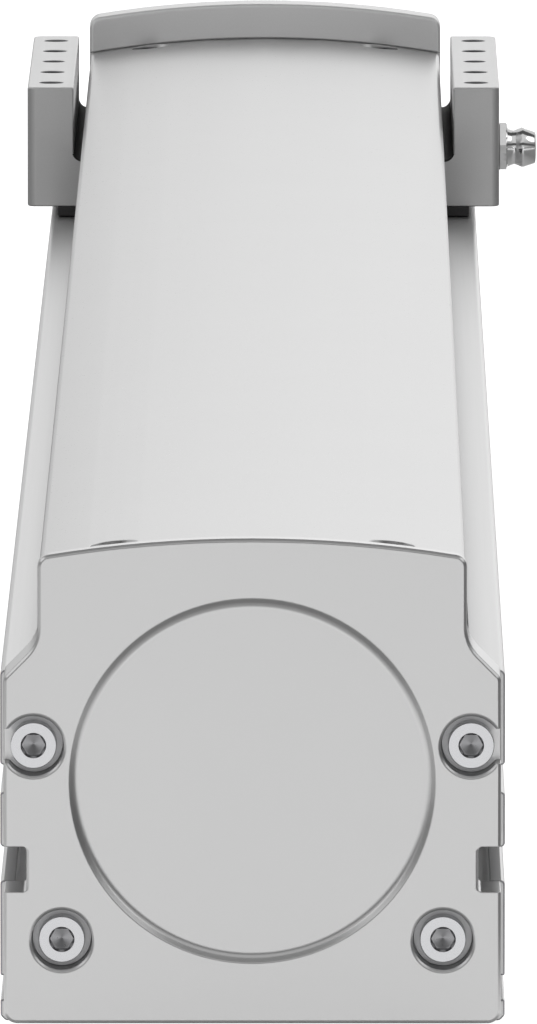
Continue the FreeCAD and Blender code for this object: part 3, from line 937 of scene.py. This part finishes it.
def makeThreadTree(spec):
    # a grid rolled up into a barrel, with a ball track along a right-hand helix
    tree, given = startTree("threadedRod", {
        "Radius": "Float", "Lead": "Float", "Start": "Float", "Length": "Float", "Height": "Float",
        "Track": "Float", "Around": "Int", "Along": "Int", "Finish": "Material"})
    add = partial(addNode, tree)
    grid = add("GeometryNodeMeshGrid", {
        "Size X": 1.0, "Size Y": 1.0, "Vertices X": given["Around"], "Vertices Y": given["Along"]})
    place = add("GeometryNodeInputPosition")
    place = add("ShaderNodeSeparateXYZ", [place]).outputs
    turns = add(plus, (place["X"], 0.5))
    share = add(plus, (place["Y"], 0.5))
    angle = add(times, (turns, fullTurn))
    run = add(times, (share, given["Length"]))

    # the track, which fades out at both ends
    leads = add(over, (run, given["Lead"]))
    phase = add(minus, (leads, turns))
    phase = add(times, (phase, fullTurn))
    wave = add(cosineOf, (phase,))
    groove = add(fade, (wave, *spec["track"]))
    left = add(minus, (given["Length"], run))
    nearEnd = add(smaller, (run, left))
    endLeads = add(over, (nearEnd, given["Lead"]))
    taper = add(rangeNode, (endLeads, *spec["fade"]))
    depth = add(times, (groove, taper))
    cut = add(times, (depth, given["Track"]))
    radius = add(minus, (given["Radius"], cut))

    # rolled up
    sine = add(sineOf, (angle,))
    cosine = add(cosineOf, (angle,))
    across = add(times, (radius, sine))
    along = add(plus, (given["Start"], run))
    lift = add(times, (radius, cosine))
    up = add(plus, (given["Height"], lift))
    spot = add("ShaderNodeCombineXYZ", (across, along, up))
    rolled = add("GeometryNodeSetPosition", {"Geometry": grid, "Position": spot})
    smooth = add("GeometryNodeSetShadeSmooth", {"Geometry": rolled})
    return endTree(tree, given, smooth)


def addTree(piece, tree, values):
    modifier = piece.modifiers.new(tree.name, "NODES")
    modifier.node_group = tree
    for item in tree.interface.items_tree:
        if item.in_out == "INPUT" and item.name in values:
            modifier[item.identifier] = values[item.name]


rowTree = makeRowTree()
threadTree = makeThreadTree(threadForm)


def makeRows(name, shape, rows, finish, turn=(0, 0, 0), size=1.0):
    # rows of (count, start, step), in mm
    piece = newPiece(name, bpy.data.meshes.new(name))
    template = newPiece(name + "Template", shape)
    for count, start, step in rows:
        addTree(piece, rowTree, {
            "Template": template, "Count": count, "Start": [v * mm for v in start],
            "Step": [v * mm for v in step], "Turn": turn, "Size": size, "Finish": finish})
    makePlain(piece)
    bpy.data.objects.remove(template)
    return piece


def turnedMesh(name, rings, steps=48, closed=False):
    # rings of (height, radius) in mm, with True after a hexagonal one, up the outside and down the inside
    points, faces = [], []
    for height, radius, *hexagonal in rings:
        for i in range(steps):
            turn = fullTurn * i / steps
            reach = radius / math.cos(turn % (math.pi / 3) - math.pi / 6) if hexagonal else radius
            points.append((reach * math.cos(turn) * mm, reach * math.sin(turn) * mm, height * mm))
    bands = len(rings) if closed else len(rings) - 1
    for band in range(bands):
        low, high = band * steps, (band + 1) % len(rings) * steps
        for i in range(steps):
            following = (i + 1) % steps
            faces.append((low + i, low + following, high + following, high + i))
    if not closed:
        faces.append(tuple(reversed(range(steps))))
        faces.append(tuple(range(len(points) - steps, len(points))))
    mesh = bpy.data.meshes.new(name)
    mesh.from_pydata(points, [], faces)
    mesh.shade_smooth()
    mesh.set_sharp_from_angle(angle=turnedCrease)
    return mesh


# screws

socketHead = {
    "shank": 1.45, "tip": 0.3,
    "head": 2.75, "height": 3.0, "face": 2.66, "seatEdge": 0.12,
    "mouth": 1.52, "mouthDepth": 0.25, "key": 1.25, "keyDepth": 1.4,
    "drilled": (0.06, 0.55, 0.05),      # step below the key, depth of the drill's point, its tip
    "inside": (0.02, 2.2),              # depths below the top that the socket takes up
}
sunkHead = {
    "shank": 1.45, "tip": 0.2, "length": 5.0, "head": 2.47, "rim": 0.06, "rimEdge": 0.07,
    "key": 1.0, "keyDepth": 1.0, "mouth": 1.2, "mouthDepth": 0.12, "drilled": (0.4, 0.1), "steps": 36,
}


def socketRings(spec, reach):
    top, floor = spec["height"], spec["height"] - spec["keyDepth"]
    shank, head, face, key = spec["shank"], spec["head"], spec["face"], spec["key"]
    tip, edge = spec["tip"], spec["seatEdge"]
    step, depth, point = spec["drilled"]
    outside = [(-reach, shank - tip), (tip - reach, shank), (0, shank), (0, head - edge),
               (edge, head), (top - head + face, head), (top, face)]
    inside = [(top, spec["mouth"]), (top - spec["mouthDepth"], key, True), (floor, key, True),
              (floor, key - step), (floor - depth, point)]
    return outside + inside


def sunkRings(spec):
    # right-angled head with its top at height 0
    shank, head, key = spec["shank"], spec["head"], spec["key"]
    tip, rim, floor = spec["tip"], spec["rim"], -spec["keyDepth"]
    depth, point = spec["drilled"]
    outside = [(-spec["length"], shank - tip), (tip - spec["length"], shank),
               (shank - head - rim, shank), (-rim, head), (0, head - spec["rimEdge"])]
    inside = [(0, key * spec["mouth"]), (-spec["mouthDepth"], key, True), (floor, key, True),
              (floor - depth, point)]
    return outside + inside


def pairAcross(x, y, z):
    return (2, (-x, y, z), (2 * x, 0, 0))


def makeEndScrews(name, spec):
    rows = [pairAcross(x, spec["seat"], z) for x, z in idleEndCap["screws"]]
    shape = turnedMesh(name, socketRings(socketHead, spec["reach"]))
    screws = makeRows(name, shape, rows, platedFinish, spec["turn"])

    def inSocket(middle, normal):
        least, most = socketHead["inside"]
        depth = socketHead["height"] - abs(middle.y - spec["seat"])
        return screwDistance(middle) < socketHead["mouth"] and least < depth < most

    # the socket's inside gets the darker painted shade
    paintFaces(screws, socketShadeFinish, inSocket)
    standFor(screws, "plated_steel", spec["node"])


def makeSunkScrews(name, rows, node, turn=(0, 0, 0), size=1.0):
    shape = turnedMesh(name, sunkRings(sunkHead), sunkHead["steps"])
    addTo(makeRows(name, shape, rows, oxideFinish, turn, size), bodyOf(node))


endScrews = {
    "capScrews": {"node": "end_cap_screws", "seat": -326.4, "reach": 21.9, "turn": (quarterTurn, 0, 0)},
    "headScrews": {"node": "drive_head_screws", "seat": 345.9, "reach": 41.4, "turn": (-quarterTurn, 0, 0)},
}
topScrews = {
    "coverScrews": {"node": "cover", "across": 16.8, "top": 56.97, "size": 1.0,
                    "stations": (-320.8, 316.2)},
    "housingScrews": {"node": "carriage", "across": 9.9, "top": 50.09, "size": 1.0,
                      "stations": (263.9, 269.7)},
    "runnerScrews": {"node": "carriage", "across": 17.0, "top": 50.09, "size": 0.67,
                     "stations": (231.25, 239.25, 281.75, 289.75)},
}
nutScrews = {"across": 9.9, "heights": (20.1, 39.9), "front": 249.97, "size": 0.9}

for name, spec in endScrews.items():
    makeEndScrews(name, spec)
for name, spec in topScrews.items():
    screwRows = [pairAcross(spec["across"], y, spec["top"]) for y in spec["stations"]]
    makeSunkScrews(name, screwRows, spec["node"], size=spec["size"])
nutRows = [pairAcross(nutScrews["across"], nutScrews["front"], z) for z in nutScrews["heights"]]
makeSunkScrews("nutScrews", nutRows, "ball_nut", (quarterTurn, 0, 0), nutScrews["size"])
print("screws made")


# grease nipple, turned along X

greaseNipple = {
    "seat": (33.27, 229.0, 51.2), "turned": 21.3,       # degrees
    "stem": [(-4.5, 1.8), (-4.3, 2.0), (0, 2.0)],
    "flats": 3.3, "hexEdges": (0.93, 0.97), "lowEdge": 0.12, "highEdge": 0.2, "collar": 1.2,
    # above the collar
    "knob": [(0, 2.9), (0.5, 2.65), (0.9, 2.5), (1.3, 2.58), (2.0, 2.88), (2.2, 2.9), (2.4, 2.85),
             (3.8, 2.4), (3.95, 2.25), (4.03, 1.8), (4.03, 0.9), (3.9, 0.7), (3.7, 0.1)],
}


def nippleRings(spec):
    flats, collar = spec["flats"], spec["collar"]
    lowest, highest = spec["hexEdges"]
    hexagon = [(0, flats * lowest), (spec["lowEdge"], flats, True),
               (collar - spec["highEdge"], flats, True), (collar, flats * highest)]
    return spec["stem"] + hexagon + [(collar + rise, radius) for rise, radius in spec["knob"]]


nippleShape = turnedMesh("greaseNipple", nippleRings(greaseNipple))
nippleShape.transform(Matrix.Rotation(math.radians(greaseNipple["turned"]), 4, "Z"))
nippleRow = [(1, greaseNipple["seat"], (0, 0, 0))]
nipple = makeRows("greaseNipple", nippleShape, nippleRow, nickelFinish, (0, quarterTurn, 0))
standFor(nipple, "plated_steel", "grease_nipple")
print("nipple made")


# guide rails: one pitch with its counterbored hole, repeated

guideRail = {
    "base": 35.3, "across": 17.0, "start": -315.5, "count": 42, "pitch": 631.0 / 42,
    "half": [(3.3, 0.0), (3.5, 0.2), (3.5, 1.6), (2.9, 2.2),
             (2.9, 2.8), (3.5, 3.4), (3.5, 4.55), (3.25, 4.8)],
    "top": 4.8, "bore": 2.1, "boreDepth": 2.3, "boreSteps": 24,
}
railScrews = {
    "rings": [(0, 2.6), (0.1, 2.75), (2.87, 2.75), (3.0, 2.66), (3.0, 1.5),
              (2.85, 1.25, True), (1.7, 1.25, True)],
    "steps": 18, "size": 0.67,
}


def railPitch(spec):
    work = bmesh.new()
    section = spec["half"] + [(-x, z) for x, z in reversed(spec["half"])]
    near = [work.verts.new((x * mm, 0, z * mm)) for x, z in section]
    far = [work.verts.new((x * mm, spec["pitch"] * mm, z * mm)) for x, z in section]
    top = len(section) // 2
    for i, vert in enumerate(near):
        if i != top:
            work.faces.new((near[i - 1], vert, far[i], far[i - 1]))
    steps = spec["boreSteps"]
    rings = []
    for z in (spec["top"], spec["top"] - spec["boreDepth"]):
        turns = [fullTurn * i / steps for i in range(steps)]
        spots = [(spec["bore"] * math.cos(turn), spec["pitch"] / 2 + spec["bore"] * math.sin(turn), z)
                 for turn in turns]
        rings.append([work.verts.new(Vector(spot) * mm) for spot in spots])
    mouth, floor = rings
    for i in range(steps):
        work.faces.new((mouth[i - 1], mouth[i], floor[i], floor[i - 1]))
    work.faces.new(floor)
    outline = [near[top - 1], near[top], far[top], far[top - 1]]
    rim = [work.edges.get((mouth[i - 1], mouth[i])) for i in range(steps)]
    for i, vert in enumerate(outline):
        ends = (outline[i - 1], vert)
        rim.append(work.edges.get(ends) or work.edges.new(ends))
    bmesh.ops.triangle_fill(work, edges=rim, use_beauty=True, normal=(0, 0, 1))
    bmesh.ops.recalc_face_normals(work, faces=work.faces)
    return meshFrom(work, "railPitch")


def closeEnds(piece):
    work = bmesh.new()
    work.from_mesh(piece.data)
    bmesh.ops.holes_fill(work, edges=[e for e in work.edges if e.is_boundary])
    bmesh.ops.recalc_face_normals(work, faces=work.faces)
    work.to_mesh(piece.data)
    work.free()


def railRow(spec, side, along, up):
    # one copy for each pitch, from a place in the first one
    start = (side * spec["across"], spec["start"] + along, spec["base"] + up)
    return (spec["count"], start, (0, spec["pitch"], 0))


def makeRail(spec, side, name, node):
    rail = makeRows(name, railPitch(spec), [railRow(spec, side, 0, 0)], groundFinish)
    closeEnds(rail)
    standFor(rail, "hardened_steel", node)


def makeRailScrews(spec, rail):
    seat = rail["top"] - rail["boreDepth"]
    rows = [railRow(rail, side, rail["pitch"] / 2, seat) for side in (-1, 1)]
    shape = turnedMesh("railScrew", spec["rings"], spec["steps"])
    screws = makeRows("railScrews", shape, rows, oxideFinish, size=spec["size"])
    addTo(screws, bodyOf("guide_rail_left"))


makeRail(guideRail, -1, "railLeft", "guide_rail_left")
makeRail(guideRail, 1, "railRight", "guide_rail_right")
makeRailScrews(railScrews, guideRail)
print("rails made")


# spindle: journals from the CAD, thread from its tree; wipers of the nut

spindleThread = {
    "radius": 6.0, "lead": 10.0, "start": -314.1, "length": 640.0, "height": 30.0, "track": 0.9,
    "close": 0.02,      # mm; faces this near to the radius are the plain barrel
    "around": 43,       # 42 divisions, as the journals' rims have
    "along": 769,
}
nutWipers = {"inner": 6.2, "outer": 8.5, "width": 2.0, "front": 248.0, "rear": 280.5, "height": 30.0}


def makeSpindle(spec):
    work = weldedCopy("spindle")

    def onBarrel(vert):
        fromAxis = math.hypot(vert.co.x, vert.co.z - spec["height"] * mm)
        return abs(fromAxis - spec["radius"] * mm) < spec["close"] * mm

    barrel = [f for f in work.faces if abs(f.normal.y) < 0.5 and all(onBarrel(v) for v in f.verts)]
    bmesh.ops.delete(work, geom=barrel, context="FACES")
    spindle = newPiece("spindleShaft", meshFrom(work, "spindleShaft"))
    lengths = ("radius", "lead", "start", "length", "height", "track")
    values = {length.capitalize(): spec[length] * mm for length in lengths}
    values |= {"Around": spec["around"], "Along": spec["along"], "Finish": groundFinish}
    addTree(spindle, threadTree, values)
    makePlain(spindle)
    standFor(spindle, "hardened_steel", "spindle")


def makeWipers(spec):
    inner, outer, width = spec["inner"], spec["outer"], spec["width"]
    shape = turnedMesh("nutWipers", [(0, inner), (0, outer), (width, outer), (width, inner)], closed=True)
    step = (0, spec["rear"] - spec["front"], 0)
    rows = [(2, (0, spec["front"] + width, spec["height"]), step)]
    wipers = makeRows("nutWipers", shape, rows, acetalFinish, (quarterTurn, 0, 0))
    addTo(wipers, bodyOf("ball_nut"))


makeSpindle(spindleThread)
makeWipers(nutWipers)
print("spindle made")
